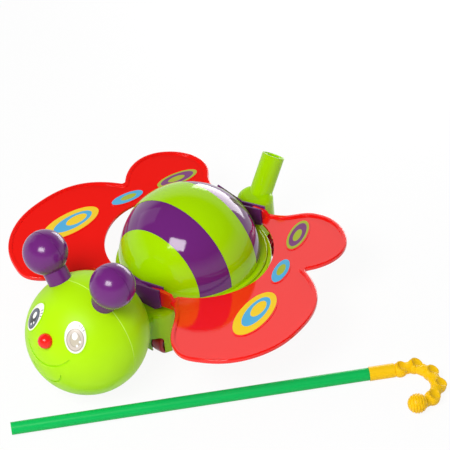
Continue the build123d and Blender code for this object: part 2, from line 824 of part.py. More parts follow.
def knuckle(y_middle, rise, root_share, with_lever):
    """The upright arm from the pin to the wing's root, and on the front one its lever."""
    length = root_share * wing_reach + knuckle_hold - hinge_offset
    points = [
        (0, knuckle_boss_radius), (knuckle_shoulder, rise),
        (length - knuckle_end_slope, rise), (length, wing_thickness / 2),
        (length, -knuckle_end_drop),
        (knuckle_shoulder, -knuckle_depth), (0, -knuckle_boss_radius),
    ]
    face = make_face(Polyline(*[(x, 0, z) for x, z in points], close=True))
    arm = extrude(face, knuckle_thickness / 2, dir=(0, 1, 0), both=True)
    half = knuckle_thickness / 2
    arm += cylinder_y(knuckle_boss_radius, -half, half, 0, 0)
    if with_lever:
        arm += block((-lever_length, 0), (-half, half), (-lever_half_height, lever_half_height))
        arm += cylinder_y(lever_tip_radius, -half, half, -lever_length, 0)
    arm -= cylinder_y(hinge_pin_radius + running_gap, -half - overrun, half + overrun, 0, 0)
    return Pos(hinge_offset, y_middle, hinge_height) * arm


def spot_place(name):
    """Where a spot lies on the right wing, and its lean."""
    x_share, y_share = spot_centre_shares[name]
    half_width, half_length = [share * wing_reach for share in spot_half_size_shares[name]]
    place = Pos(x_share * wing_reach, y_share * wing_front, 0) * Rot(0, 0, spot_leans[name])
    return place, half_width, half_length


def make_right_wing():
    """Wing plate, lip, raised spots and both hinge arms."""
    foot = hinge_height - wing_thickness / 2
    wing = Pos(0, 0, foot - wing_lip_drop) * wing_plate()
    for name in spot_leans:
        place, half_width, half_length = spot_place(name)
        oval = Ellipse(half_width + sticker_border, half_length + sticker_border)
        wing += Pos(0, 0, foot) * place * extrude(oval, wing_thickness + spot_raise)
    wing += knuckle(front_bracket_y, front_knuckle_rise, front_root_shares[0], True)
    wing += knuckle(rear_bracket_y, rear_knuckle_rise, rear_heel_shares[0], False)
    return solid_of(wing)


def make_right_spot(name):
    """A printed oval sticker on its raised place."""
    place, half_width, half_length = spot_place(name)
    top = hinge_height + wing_thickness / 2 + spot_raise
    return solid_of(Pos(0, 0, top) * place * extrude(Ellipse(half_width, half_length), sticker_thickness))


# Flapping gear

def make_lifter():
    """The sliding lifter: a head that holds both wing levers, a stem and a yoke round the crank."""
    half = lifter_thickness / 2
    head_half = lifter_head_half_width
    y_range = (lifter_y - half, lifter_y + half)
    slot_top = hinge_height + lever_slot
    slot_foot = hinge_height - lever_slot
    body = block((-head_half, head_half), y_range, (slot_foot - lifter_bar, slot_foot))
    body += block((-head_half, head_half), y_range, (slot_top, slot_top + lifter_bar))
    web = lifter_web_half_width
    body += block((-web, web), y_range, (slot_foot - lifter_bar, slot_top + lifter_bar))
    window_top = front_axle_z + yoke_top
    window_foot = front_axle_z - yoke_bottom
    stem = lifter_stem_half_width
    body += block((-stem, stem), y_range, (window_top, slot_foot))
    body += block((-yoke_half_thickness, yoke_half_thickness), (yoke_front, yoke_end),
                  (window_foot - lifter_bar, window_top + lifter_bar))
    body -= block((-stem - overrun, stem + overrun),
                  (front_axle_y - yoke_half_window, front_axle_y + yoke_half_window),
                  (window_foot, window_top))
    return solid_of(body)


def make_crank_axle():
    """A steel wire axle, bent into a crank between its bearings."""
    turn = asin(crank_rise / crank_throw)
    pin_y = front_axle_y - crank_throw * cos(turn)
    pin_z = front_axle_z + crank_throw * sin(turn)
    end = front_wheel_inset + front_wheel_width
    axle = cylinder_x(axle_radius, -crank_half_length, crank_half_length, pin_y, pin_z)
    for side in (-1, 1):
        bend = side * crank_half_length
        axle += cylinder_x(axle_radius, bend, side * end, front_axle_y, front_axle_z)
        axle += Pos(bend, front_axle_y, front_axle_z) * Sphere(axle_radius)
        axle += Pos(bend, pin_y, pin_z) * Sphere(axle_radius)
        web = Pos(0, 0, crank_throw / 2) * Cylinder(axle_radius, crank_throw)
        axle += Pos(bend, front_axle_y, front_axle_z) * Rot(90 - degrees(turn), 0, 0) * web
    return solid_of(axle)


def make_wheel(radius, width):
    """A moulded wheel with a rounded tread, a web and a hub, on its axis along X."""
    half = width / 2
    body = Cylinder(radius, width)
    body = fillet(body.edges().filter_by(GeomType.CIRCLE), tyre_round)
    dish = Cylinder(radius - tyre_thickness, half - wheel_web / 2 + overrun)
    for side in (-1, 1):
        body -= Pos(0, 0, side * (half + overrun + wheel_web / 2) / 2) * dish
    body += Cylinder(hub_radius, width)
    body -= Cylinder(axle_radius, width + 2 * overrun)
    return Rot(0, 90, 0) * body


def make_front_wheel(side):
    """A front wheel, pressed onto the crank axle."""
    x = side * (front_wheel_inset + front_wheel_width / 2)
    wheel = make_wheel(front_wheel_radius, front_wheel_width)
    return solid_of(Pos(x, front_axle_y, front_axle_z) * wheel)


def make_rear_wheel(side):
    """A rear wheel beside the tail's foot."""
    x = side * (tail_foot_half_width + bearing_gap + rear_wheel_width / 2)
    wheel = make_wheel(rear_wheel_radius, rear_wheel_width)
    return solid_of(Pos(x, collar_y, rear_axle_z) * wheel)


def make_rear_axle():
    """A straight steel wire through the tail's foot."""
    end = tail_foot_half_width + bearing_gap + rear_wheel_width
    return solid_of(cylinder_x(axle_radius, -end, end, collar_y, rear_axle_z))


# Stick socket

def socket_axis():
    """Places a shape that stands on the origin along the leaning socket."""
    return Pos(0, collar_y, socket_foot_height) * Rot(-socket_tilt, 0, 0)


def make_collar():
    """The round-shouldered pot on the tail, which grips the socket tube."""
    height = collar_top - tail_top
    pot = Pos(0, 0, tail_top + height / 2) * Cylinder(tail_radius, height)
    pot = fillet(pot.edges().sort_by(Axis.Z)[-1], collar_round)
    hollow = cylinder_z(tail_radius - wall, tail_top + wall, collar_top - collar_round, 0, 0)
    pot = Pos(0, collar_y, 0) * (pot - hollow)
    rod = socket_axis() * Cylinder(socket_radius + wall, 2 * wall + collar_round)
    pot += rod & (Pos(0, collar_y, tail_top + height / 2) * Cylinder(tail_radius - wall / 2, height - wall))
    tube = Pos(0, 0, socket_length / 2 - wall) * Cylinder(socket_radius + seat_gap / 2, socket_length + wall)
    pot -= socket_axis() * tube
    slot_y = rear_bracket_y + bracket_half_depth
    pot -= block((-tongue_half_width - seat_gap, tongue_half_width + seat_gap),
                 (slot_y - overrun * 2, slot_y + tongue_length + seat_gap),
                 (rear_floor_z - seat_gap, rear_floor_z + bracket_floor + seat_gap))
    return solid_of(pot)


def make_socket_tube():
    """The leaning tube that stands out of the collar."""
    tube = Pos(0, 0, socket_length / 2) * Cylinder(socket_radius, socket_length)
    tube -= Pos(0, 0, socket_length / 2 + wall) * Cylinder(socket_radius - socket_wall, socket_length)
    return solid_of(socket_axis() * tube)


def make_socket_sleeve():
    """The lining that the stick slides into."""
    middle = socket_length - sleeve_length / 2 - sleeve_setback
    sleeve = Pos(0, 0, middle) * Cylinder(socket_radius - socket_wall, sleeve_length)
    sleeve -= Pos(0, 0, middle) * Cylinder(stick_radius + seat_gap, sleeve_length + 2 * overrun)
    return solid_of(socket_axis() * sleeve)


# Push stick

def stick_axis(distance, aside, height):
    """A point along the stick, from its plain end, on the floor beside the toy."""
    heading = radians(stick_heading)
    x = stick_start[0] + distance * cos(heading) - aside * sin(heading)
    y = stick_start[1] + distance * sin(heading) + aside * cos(heading)
    return (x, y, height)


def stick_rod(radius, start, end):
    """A round bar along the stick."""
    x, y, z = stick_axis((start + end) / 2, 0, grip_sleeve_radius)
    return Pos(x, y, z) * Rot(0, 0, stick_heading) * Rot(0, 90, 0) * Cylinder(radius, end - start)


def make_stick_tube():
    """The plain tube, with a thinner spigot that runs into the grip."""
    shoulder = stick_visible_length - grip_shoulder_gap
    end = stick_visible_length + grip_overlap
    tube = stick_rod(stick_radius, 0, shoulder) + stick_rod(stick_spigot_radius, shoulder - overrun, end)
    tube -= stick_rod(stick_spigot_radius - stick_wall, -overrun, end + overrun)
    return solid_of(tube)


def hook_point(share, height):
    """A point of the hook from its shares."""
    start = stick_visible_length + grip_sleeve_length
    return stick_axis(start + share[0] * hook_reach, share[1] * hook_reach, height)


def cup_place(share, height):
    """Turns a shape that stands on a bump's centre the way its thumb cup faces."""
    return Pos(*hook_point(share, height)) * Rot(0, 0, grip_dent_heading) * Rot(0, grip_dent_tilt, 0)


def make_grip():
    """The hook-shaped grip: sleeve, five knuckle bumps with thumb cups and a ribbed ball."""
    z = grip_sleeve_radius
    start = stick_visible_length
    sleeve_end = start + grip_sleeve_length
    grip = stick_rod(grip_sleeve_radius, start, sleeve_end)
    ends = [stick_axis(sleeve_end - grip_radius, 0, z)]
    ends += [hook_point(share, z) for share in grip_bump_shares + [grip_ball_shares]]
    for here, there in zip(ends, ends[1:]):
        grip += bar_between(here, there, grip_radius)
    for share in grip_bump_shares:
        cup = Pos(0, 0, grip_cup_height / 2) * Cylinder(grip_cup_radius, grip_cup_height)
        grip += cup_place(share, z) * (Sphere(grip_bump_radius) + cup)
    grip += ribbed_ball()
    mouth_radius = grip_cup_radius - grip_cup_lip
    dent_middle = grip_cup_height + sqrt(grip_dent_radius ** 2 - mouth_radius ** 2)
    for share in grip_bump_shares:
        grip -= cup_place(share, z) * Pos(0, 0, dent_middle) * Sphere(grip_dent_radius)
    grip -= stick_rod(stick_spigot_radius, start - overrun, start + grip_overlap)
    grip &= block_over_foot()
    return solid_of(grip)


def block_over_foot():
    """Everything round the grip above the flat that it lies on."""
    x, y, z = hook_point((0, 0), 0)
    reach = 3 * hook_reach
    return block((x - reach, x + reach), (y - reach, y + reach), (grip_foot_flat, reach))


def bar_between(here, there, radius):
    """A round bar with ball ends between two points."""
    run = Vector(*there) - Vector(*here)
    frame = Plane(origin=(Vector(*here) + Vector(*there)) / 2, z_dir=run)
    return frame.location * Cylinder(radius, run.length) + Pos(*there) * Sphere(radius)


def ribbed_ball():
    """The ball at the hook's end, grooved round."""
    ball = Sphere(grip_ball_radius)
    pitch = 2 * grip_ball_radius / (grip_rib_count + 1)
    for number in range(1, grip_rib_count + 1):
        level = number * pitch - grip_ball_radius
        ring_radius = sqrt(grip_ball_radius ** 2 - level ** 2)
        ball -= Pos(0, 0, level) * Torus(ring_radius, grip_rib_depth)
    centre = hook_point(grip_ball_shares, grip_ball_radius)
    return Pos(*centre) * Rot(0, 0, stick_heading) * Rot(0, 90, 0) * ball


# Screws

def make_head_screws():
    """Three screws that join the head's halves from behind."""
    place = [Pos(x, head_y + screw_length, head_height + z) for x, z in head_boss_places()]
    return Compound(children=[p * Rot(90, 0, 0) * screw(2 * screw_length - wall) for p in place])


def make_dome_screws():
    """Four screws up through the tray's ledge into the back's flange."""
    length = flange_top - wall - ledge_z
    foot = ledge_z - wall
    return Compound(children=[Pos(x, y, foot) * screw(length) for x, y in dome_screw_places()])


def make_cover_screws():
    """Four screws up through the cover into the hull's posts."""
    foot = hull_foot + screw_head_height
    return Compound(children=[Pos(x, y, foot) * screw(screw_length) for x, y in cover_screw_places()])


def make_bracket_screws():
    """Two screws up through the chest's roof into the front bracket."""
    foot = chest_top - wall
    length = wall + bracket_floor - seat_gap
    x = bracket_screw_x()
    return Compound(children=[Pos(side * x, front_bracket_y, foot) * screw(length) for side in (-1, 1)])


# All pieces, by node name

pieces = {
    "base_shell": make_base_shell(),
    "bottom_cover": make_bottom_cover(),
    "dome_shell": make_dome_shell(),
    "band_front": make_band(band_front_shares),
    "band_rear": make_band(band_rear_shares),
    "head_front": make_head_half(-1),
    "head_rear": make_head_half(1),
    "neck_ring": make_neck_ring(),
    "nose": make_nose(),
    "eye_right": make_eye(1),
    "eye_left": make_eye(-1),
    "bracket_front": make_front_bracket(),
    "bracket_rear": make_rear_bracket(),
    "lifter": make_lifter(),
    "crank_axle": make_crank_axle(),
    "rear_axle": make_rear_axle(),
    "socket_collar": make_collar(),
    "socket_tube": make_socket_tube(),
    "socket_sleeve": make_socket_sleeve(),
    "stick_tube": make_stick_tube(),
    "stick_grip": make_grip(),
    "head_screws": make_head_screws(),
    "dome_screws": make_dome_screws(),
    "cover_screws": make_cover_screws(),
    "bracket_screws": make_bracket_screws(),
}
for side, name in ((1, "right"), (-1, "left")):
    pieces["feeler_front_" + name] = make_feeler_half(side, -1)
    pieces["feeler_rear_" + name] = make_feeler_half(side, 1)
    pieces["hinge_pin_front_" + name] = make_hinge_pin(side, front_bracket_y)
    pieces["hinge_pin_rear_" + name] = make_hinge_pin(side, rear_bracket_y)
    pieces["wheel_front_" + name] = make_front_wheel(side)
    pieces["wheel_rear_" + name] = make_rear_wheel(side)
right_wing = make_right_wing()
pieces["wing_right"] = right_wing
pieces["wing_left"] = mirrored(right_wing)
for spot in spot_leans:
    right_spot = make_right_spot(spot)
    pieces["spot_" + spot + "_right"] = right_spot
    pieces["spot_" + spot + "_left"] = mirrored(right_spot)

# The origin goes to the floor under the middle of the whole set
boxes = [piece.bounding_box() for piece in pieces.values()]
middle_x = (min(box.min.X for box in boxes) + max(box.max.X for box in boxes)) / 2
middle_y = (min(box.min.Y for box in boxes) + max(box.max.Y for box in boxes)) / 2
foot_z = min(box.min.Z for box in boxes)
shift = Pos(-middle_x, -middle_y, -foot_z)
for name, piece in pieces.items():
    placed = shift * piece
    solids = placed.solids()
    print(name, len(solids), "solids", round(sum(solid.volume for solid in solids)), "mm3", placed.is_valid)
    export_step(placed, os.path.join("parts", name + ".step"))
print("origin moved by", shift.position)
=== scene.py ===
# %% [markdown]
# # A winged push toy and its stick
# A toddler pushes this toy along by a stick that plugs into a socket behind its round back. The wings flap
# as the front wheels turn. The solids come from a CAD model, so every shape is already in place and in
# metres. This lesson gives each piece its finish, then builds the floor, the lamps and the camera.
# The toy's head points to -Y and its socket to +Y. Pieces named right lie towards +X.

# %% The CAD frame
import bpy
import math
from mathutils import Matrix, Vector


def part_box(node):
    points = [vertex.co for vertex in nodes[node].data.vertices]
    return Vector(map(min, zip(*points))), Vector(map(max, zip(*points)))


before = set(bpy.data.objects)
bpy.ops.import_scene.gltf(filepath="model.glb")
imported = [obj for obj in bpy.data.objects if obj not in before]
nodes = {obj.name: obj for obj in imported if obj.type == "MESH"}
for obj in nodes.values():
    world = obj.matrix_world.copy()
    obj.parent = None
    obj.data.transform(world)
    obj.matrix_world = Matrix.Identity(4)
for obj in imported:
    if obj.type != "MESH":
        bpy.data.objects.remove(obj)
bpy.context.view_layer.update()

# %% [markdown]
# A material's pattern is a sum of simple fields, and drawing that sum as wires between nodes is hard to read
# and to change. It could be built by hand in the shader editor. Here it is written as sums instead: the
# small class below wraps one output of a node, so that +, -, * and / on it add Math nodes.

# %% Sums on shader values
class Signal:
    """One changing value of a material, which takes part in ordinary sums."""

    def __init__(self, paint, socket):
        self.paint = paint
        self.socket = socket

    def maths(self, operation, first, second, clamp=False):
        settings = {"operation": operation, "use_clamp": clamp}
        return self.paint.node("ShaderNodeMath", settings, {0: first, 1: second})

    def __add__(self, other):
        return self.maths("ADD", self, other)

    def __sub__(self, other):
        return self.maths("SUBTRACT", self, other)

    def __rsub__(self, other):
        return self.maths("SUBTRACT", other, self)

    def __mul__(self, other):
        return self.maths("MULTIPLY", self, other)

    def __truediv__(self, other):
        return self.maths("DIVIDE", self, other)

    def __rtruediv__(self, other):
        return self.maths("DIVIDE", other, self)

    def size(self):
        return self.maths("ABSOLUTE", self, 0.0)

    def root(self):
        return self.maths("SQRT", self, 0.0)

    def clamped(self):
        return self.maths("ADD", self, 0.0, clamp=True)

    def at_least(self, other):
        return self.maths("MAXIMUM", self, other)

    __radd__ = __add__
    __rmul__ = __mul__


print("sums ready: + - * /, size, root, clamped and at_least")

# %% [markdown]
# Paint holds a material and the few things that every finish needs: where a point lies, a cloudy noise, a
# blend of two colours and a relief. One method makes any node from its type, its settings and its sockets.

# %% Paint
few_octaves = 2.0
some_octaves = 3.0
many_octaves = 4.0

# The Mix node has sockets for each kind of data, and these are the ones for colours
mix_share = 0
mix_first = 6
mix_second = 7
mix_result = 2


class Paint:
    """A new material and the means to fill it with nodes."""

    def __init__(self, name):
        self.material = bpy.data.materials.new(name)
        self.material.use_nodes = True
        self.take(self.material.node_tree, "Principled BSDF")

    def take(self, tree, shader_name):
        """Notes the node tree and the shader in it that values are fed to."""
        self.tree = tree
        self.shader = tree.nodes[shader_name]

    def node(self, kind, settings, inputs, output=0):
        """Makes a node, sets it, fills its sockets with values or links, and returns one output."""
        made = self.tree.nodes.new(kind)
        for key, value in settings.items():
            setattr(made, key, value)
        for key, value in inputs.items():
            self.fill(made.inputs[key], value)
        return Signal(self, made.outputs[output])

    def fill(self, socket, value):
        """A socket takes a link or a plain value."""
        if isinstance(value, Signal):
            self.tree.links.new(value.socket, socket)
        else:
            socket.default_value = value

    def place(self):
        """Where a point of the surface lies, in the CAD frame."""
        return self.node("ShaderNodeTexCoord", {}, {}, "Object")

    def part(self, vector, letter):
        """One of a vector's three parts."""
        return self.node("ShaderNodeSeparateXYZ", {}, {"Vector": vector}, letter)

    def along(self, vector, direction):
        """How far a vector reaches along a direction."""
        settings = {"operation": "DOT_PRODUCT"}
        return self.node("ShaderNodeVectorMath", settings, {0: vector, 1: direction}, "Value")

    def blend(self, share, first, second):
        """A colour between two others."""
        settings = {"data_type": "RGBA", "clamp_factor": True}
        inputs = {mix_share: share, mix_first: first, mix_second: second}
        return self.node("ShaderNodeMix", settings, inputs, mix_result)

    def noise(self, size, octaves):
        """Cloudy noise whose grains are about size metres across."""
        inputs = {"Vector": self.place(), "Scale": 1 / size, "Detail": octaves}
        return self.node("ShaderNodeTexNoise", {}, inputs)

    def bump(self, height, depth):
        """A surface relief, depth in metres where height is 1."""
        return self.node("ShaderNodeBump", {}, {"Height": height, "Distance": depth, "Strength": 1.0})

    def set(self, **sockets):
        """Values that are the same all over, set on the shader's own sockets."""
        for name, value in sockets.items():
            self.shader.inputs[name.replace("_", " ")].default_value = value

    def feed(self, name, signal):
        """Links a changing value to the shader."""
        self.fill(self.shader.inputs[name], signal)


def shade(colour, factor=1.0):
    """A colour made lighter or darker, ready for a colour socket."""
    return tuple(min(part * factor, 1.0) for part in colour) + (1.0,)


white = shade((1.0, 1.0, 1.0))
print("paint ready, white is", white)

# %% [markdown]
# The toy is injection moulded. Such plastic is glossy, but never perfect: its colour drifts a little where
# the melt flowed, its skin has a faint orange peel, and handling leaves areas that shine less. One flat
# colour would look like a drawing, and a photographed texture would stretch on the round shapes. Three
# noises of different grain follow any shape, so they give these.

# %% Moulded plastic
plastic_ior = 1.5
mottle_size = 0.05
smear_size = 0.02
smear_lowest_share = 0.75
smear_span_share = 0.5
peel_size = 0.0012
peel_depth = 0.000012


def moulded(name, colour, roughness, gloss, mottle=0.06, peel=1.0, dish=None, seam=None):
    """Moulded plastic, whose face may be a little dished or carry a painted highlight along a seam."""
    paint = Paint(name)
    paint.set(IOR=plastic_ior, Specular_IOR_Level=gloss)
    drift = paint.noise(mottle_size, few_octaves)
    tone = paint.blend(drift, shade(colour, 1 - mottle), shade(colour, 1 + mottle))
    # A seam function paints a pale highlight line over the tone
    if seam:
        tone = seam(paint, tone)
    paint.feed("Base Color", tone)
    smear = paint.noise(smear_size, many_octaves)
    paint.feed("Roughness", smear * (smear_span_share * roughness) + smear_lowest_share * roughness)
    height = paint.noise(peel_size, some_octaves) * (peel_depth * peel)
    if dish:
        height = height + dish(paint)
    paint.feed("Normal", paint.bump(height, 1.0))
    return paint.material


print("orange peel:", round(peel_depth * 1e6), "microns deep")

# %% [markdown]
# The ball head is made of two halves, and where they meet the joint catches the light as a fine pale line,
# which is painted here as a highlight. A groove could be cut there, but it would look dark. Both solids meet
# in one plane, so the painted highlight lies where a point is close to that plane.

# %% The painted highlight on the head's seam
seam_half_width = 0.0006
seam_steepness = 2.0
seam_strength = 0.6
# The colour of the painted highlight along the joint
seam_highlight_colour = (0.80, 1.0, 0.25)


def painted_seam_highlight(paint, tone):
    """Paints a pale highlight line where the two halves of the head meet over a tone."""
    joint_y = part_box("head_rear")[0][1]
    gap = (paint.part(paint.place(), "Y") - joint_y).size()
    # The pale line is a painted highlight where the joint catches the light
    line = ((1.0 - gap / seam_half_width) * seam_steepness).clamped() * seam_strength
    return paint.blend(line, tone, shade(seam_highlight_colour))


print("seam width:", round(2 * seam_half_width * 1000, 1), "mm")

# %% [markdown]
# The wings mirror the round back as plates would that are slightly dished. The solids are flat, and a few
# degrees of slope are too little to see in the outline. So the slope goes into the shading alone: a height
# that grows steadily with the distance tilts what the gloss mirrors.

# %% The wings' dish
dish_outwards = math.tan(math.radians(7.0))
dish_forwards = math.tan(math.radians(2.0))


def wing_dish(paint):
    """A height that grows towards a wing's tip and its front, in metres."""
    low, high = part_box("dome_shell")
    outwards = (paint.part(paint.place(), "X") - (low[0] + high[0]) / 2).size()
    return outwards * dish_outwards - paint.part(paint.place(), "Y") * dish_forwards


print("slopes of the dish:", round(dish_outwards, 3), round(dish_forwards, 3))

# %% [markdown]
# Each moulding has its own colour and its own polish. The back, the brackets and the wings come from
# polished moulds and mirror the lamps sharply. The head, the stick and the grip look duller, as plastic
# from a blasted mould does. The roughness sets how sharp a highlight is, and the gloss how strong.

# %% The plastics
lime_colour = (0.40, 0.74, 0.0)
head_colour = (0.46, 0.86, 0.0)
purple_colour = (0.155, 0.018, 0.185)
red_colour = (1.0, 0.012, 0.008)
wheel_colour = (0.42, 0.003, 0.014)
green_colour = (0.003, 0.50, 0.10)
yellow_colour = (1.0, 0.60, 0.003)

lime = moulded("lime_plastic", lime_colour, roughness=0.10, gloss=0.22)
# The head's seam carries a painted highlight line
head_lime = moulded("head_plastic", head_colour, roughness=0.38, gloss=0.2, seam=painted_seam_highlight)
purple = moulded("purple_plastic", purple_colour, roughness=0.08, gloss=0.4)
feeler_purple = moulded("feeler_plastic", purple_colour, roughness=0.18, gloss=0.4)
red = moulded("red_plastic", red_colour, roughness=0.05, gloss=0.5, mottle=0.03, dish=wing_dish)
nose_red = moulded("nose_plastic", red_colour, roughness=0.22, gloss=0.4)
wheel_red = moulded("wheel_plastic", wheel_colour, roughness=0.3, gloss=0.4, mottle=0.1, peel=2.0)
green = moulded("stick_plastic", green_colour, roughness=0.34, gloss=0.15, mottle=0.08, peel=2.0)
yellow = moulded("grip_plastic", yellow_colour, roughness=0.36, gloss=0.2, mottle=0.03, peel=2.5)

plastics = (lime, head_lime, purple, feeler_purple, red, nose_red, wheel_red, green, yellow)
print("moulded plastics:", ", ".join(plastic.name for plastic in plastics))

# %% [markdown]
# The axles and the screws are drawn steel. Drawing leaves fine scratches. A metal has almost no colour of
# its own but what it mirrors, so a fine noise varies its roughness and its grey, and that is enough.

# %% Steel wire
steel_colour = (0.60, 0.60, 0.61)
scratch_size = 0.0004
scratch_depth = 0.000008
scratch_shades = (0.85, 1.1)
steel_roughness = 0.2
scratch_roughness = 0.25


def drawn_steel(name):
    """Bright drawn wire."""
    paint = Paint(name)
    paint.set(Metallic=1.0)
    scratches = paint.noise(scratch_size, some_octaves)
    dark, bright = [shade(steel_colour, factor) for factor in scratch_shades]
    paint.feed("Base Color", paint.blend(scratches, dark, bright))
    paint.feed("Roughness", scratches * scratch_roughness + steel_roughness)
    paint.feed("Normal", paint.bump(scratches, scratch_depth))
    return paint.material


steel = drawn_steel("drawn_steel")
print("metal:", steel.name)

# %% [markdown]
# The spots and the eyes are printed film under a glossy varnish. They are drawn as ovals inside ovals. An
# image would be one way, but an oval by maths stays sharp from close by. Take the way from its centre along
# its two axes and divide each by the half size. The point is inside where the squares add up to less than 1.

# %% Ovals and film
print_edge = 0.0002
edge_middle = 0.5
film_gloss = 0.35
film_grain_size = 0.0006
film_grain_depth = 0.000008
film_roughness = 0.14
wear_size = 0.015
wear_roughness = 0.12
wear_paleness = 0.05


def oval_share(paint, centre, across, along, half_width, half_length):
    """How far out a point lies in an oval: 0 at its centre, 1 on its edge."""
    offset = paint.node("ShaderNodeVectorMath", {"operation": "SUBTRACT"}, {0: paint.place(), 1: centre})
    sideways = paint.along(offset, across) / half_width
    lengthways = paint.along(offset, along) / half_length
    return (sideways * sideways + lengthways * lengthways).root()


def oval_mask(paint, centre, across, along, half_width, half_length):
    """1 inside an oval and 0 outside, with a printed edge."""
    share = oval_share(paint, centre, across, along, half_width, half_length)
    return ((1.0 - share) * (half_width / print_edge) + edge_middle).clamped()


def film(paint, colour):
    """Finishes a printed film: glossy varnish with a faint grain."""
    grain = paint.noise(film_grain_size, some_octaves)
    wear = paint.noise(wear_size, some_octaves)
    paint.set(Specular_IOR_Level=film_gloss)
    paint.feed("Base Color", paint.blend(wear * wear_paleness, colour, white))
    paint.feed("Roughness", wear * wear_roughness + film_roughness)
    paint.feed("Normal", paint.bump(grain, film_grain_depth))
    return paint.material


print("printed edges are", round(1000 * print_edge, 1), "mm soft")

# %% [markdown]
# Each wing carries three spots: a large one in front, a small one in the middle and one on the rear lobe.
# Every spot has its own ground and one or two inner ovals, some of them off its centre. The middle of the
# film's box is the centre of its print, and its lean and half sizes are those of the CAD model.

# %% Printed spots
film_blue = (0.075, 0.45, 0.78)
film_yellow = (1.0, 0.66, 0.003)
film_olive = (0.42, 0.50, 0.02)
film_purple = (0.22, 0.045, 0.20)
spot_lean = {"big": 10.0, "small": 19.0, "rear": 20.0}
spot_half_sizes = {"big": (0.0143, 0.032), "small": (0.0066, 0.0168), "rear": (0.0084, 0.0215)}

# Each inner oval: its colour, its half width and half length as shares of the spot's, and its shift to the
# rear as a share of the spot's half length
spot_rings = {
    "big": (film_yellow, [(film_blue, 0.62, 0.69, 0.08), (film_yellow, 0.37, 0.37, 0.22)]),
    "small": (film_blue, [(film_olive, 0.52, 0.50, 0.08)]),
    "rear": (film_olive, [(film_purple, 0.78, 0.82, 0.0), (film_olive, 0.40, 0.42, -0.04)]),
}


def printed_spot(kind, side, side_sign):
    """The print of one spot."""
    low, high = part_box("spot_" + kind + "_" + side)
    centre = (Vector(low) + Vector(high)) / 2
    lean = math.radians(spot_lean[kind]) * side_sign
    across = Vector((math.cos(lean), math.sin(lean), 0.0))
    along = Vector((-math.sin(lean), math.cos(lean), 0.0))
    half_width, half_length = spot_half_sizes[kind]
    ground, rings = spot_rings[kind]
    paint = Paint("film_" + kind + "_" + side)
    colour = shade(ground)
    for ring_colour, width_share, length_share, shift_share in rings:
        middle = centre + along * shift_share * half_length
        mask = oval_mask(paint, middle, across, along, half_width * width_share, half_length * length_share)
        colour = paint.blend(mask, colour, shade(ring_colour))
    return film(paint, colour)


print("spot kinds:", ", ".join(spot_rings))

# %% [markdown]
# Each eye is a printed oval of foil on the curved face: a white ground, an oval iris with rims and a pupil,
# three glints and three short lashes. The iris tones are painted reflections: the right iris is painted
# pale, as it mirrors the window lamp, and the left one dark, as it mirrors the dim room. The marks are kept
# in a table, so that one loop draws them all.

# %% The eyes' colours and marks
eye_white = (0.94, 0.92, 0.86)
glint_colour = (0.97, 0.97, 0.95)
lash_colour = (0.22, 0.20, 0.17)
iris_half_width = 0.0081
iris_half_length = 0.0105
iris_drop = 0.0021
# Iris tones per eye as painted reflections: pale on the right from the window lamp, dark on the left from
# the dim room
foil_painted_reflections = {
    "right": {"rim": (0.42, 0.36, 0.29), "iris": (0.66, 0.58, 0.50), "pupil": (0.60, 0.53, 0.41)},
    "left": {"rim": (0.03, 0.035, 0.05), "iris": (0.11, 0.13, 0.17), "pupil": (0.012, 0.014, 0.02)},
}

# From the outside in: the tone, and how far out it reaches as a share of the iris
iris_layers = [("rim", 1.0), ("iris", 0.90), ("rim", 0.62), ("pupil", 0.56)]

# Each glint and lash in the eye's plane: centre right and up, half sizes, lean, in metres and degrees
glints = [
    (-0.0004, 0.0012, 0.0026, 0.0035, 0),
    (0.0044, -0.0039, 0.0011, 0.0012, 0),
    (0.0017, -0.0075, 0.0011, 0.0012, 0),
]
lashes = [
    (0.0038, 0.0106, 0.0004, 0.0018, -14),
    (0.0061, 0.0089, 0.0004, 0.0018, -36),
    (0.0075, 0.0064, 0.0004, 0.0015, -50),
]
print("an eye has", len(iris_layers), "iris layers,", len(glints), "glints and", len(lashes), "lashes")

# %% [markdown]
# A print on a ball has to know which way its foil faces. The directions could be typed in, but they follow
# from the two angles at which the CAD model turns the eye about the head's centre: first tipped up, then
# turned to the side. Glints and lashes are ovals in the same plane, each leaned by its own angle.

# %% Printed eyes
eye_turn = 33.0
eye_elevation = 36.7
quarter_turn = 90.0


def head_centre():
    """The middle of the ball head."""
    low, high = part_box("head_rear")
    return Vector(((low[0] + high[0]) / 2, low[1], (low[2] + high[2]) / 2))


def eye_axes(side_sign):
    """Two directions in the plane of an eye, and the way it faces."""
    turned = Matrix.Rotation(math.radians(eye_turn) * side_sign, 3, "Z")
    tipped = Matrix.Rotation(math.radians(quarter_turn - eye_elevation), 3, "X")
    axes = turned @ tipped
    return axes.col[0].copy(), axes.col[1].copy(), axes.col[2].copy()


def printed_eye(side, side_sign):
    """The print of one eye."""
    right, up, out = eye_axes(side_sign)
    centre = head_centre() - up * iris_drop
    paint = Paint("foil_eye_" + side)
    colour = shade(eye_white)
    # The iris layers take the painted reflection tones of their side
    for layer, share in iris_layers:
        mask = oval_mask(paint, centre, right, up, iris_half_width * share, iris_half_length * share)
        colour = paint.blend(mask, colour, shade(foil_painted_reflections[side][layer]))
    marks = [(mark, glint_colour) for mark in glints] + [(mark, lash_colour) for mark in lashes]
    for (x, y, half_width, half_length, lean), tone in marks:
        spun = Matrix.Rotation(math.radians(lean), 3, out)
        middle = head_centre() + right * x + up * y
        mask = oval_mask(paint, middle, spun @ right, spun @ up, half_width, half_length)
        colour = paint.blend(mask, colour, shade(tone))
    return film(paint, colour)


print("head centre:", tuple(round(part, 4) for part in head_centre()))

# %% [markdown]
# Now every CAD node takes its finish. A node keeps its solid, and only its material slot changes. Both
# sides of the toy are dressed by the same loop, so they can't drift apart.

